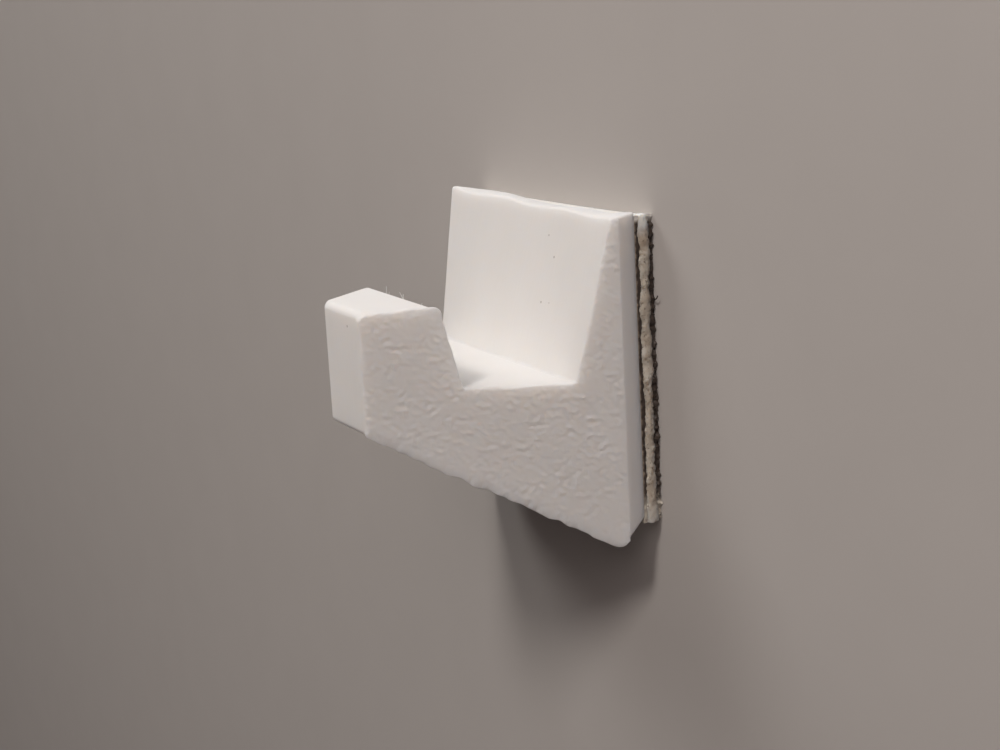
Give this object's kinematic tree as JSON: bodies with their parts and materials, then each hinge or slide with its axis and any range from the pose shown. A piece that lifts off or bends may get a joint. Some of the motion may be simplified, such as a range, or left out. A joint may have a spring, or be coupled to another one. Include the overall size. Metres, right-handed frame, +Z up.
{
  "type": "adhesive wall hook",
  "caption": "Small white plastic wall hook: a square plate, an arm that tapers to an upturned tip, and a pad of double-sided foam tape that sticks it to a wall.",
  "frame": {"origin": "centre of the tape's wall side, in the plane of the wall", "axes": "+Z up, +Y into the wall, -Y out towards the user, X along the wall"},
  "size_m": [0.025, 0.0196, 0.0245],
  "materials": {
    "white_plastic": "matt white plastic, smooth in front and finely pebbled on the slanted sides",
    "foam": "porous grey-beige foam with a cut edge",
    "adhesive": "tacky glue, dark with dust along its edge"
  },
  "bodies": {
    "root": {"hook_body": "white_plastic", "front_adhesive": "adhesive", "foam_core": "foam", "wall_adhesive": "adhesive"}
  },
  "joints": []
}
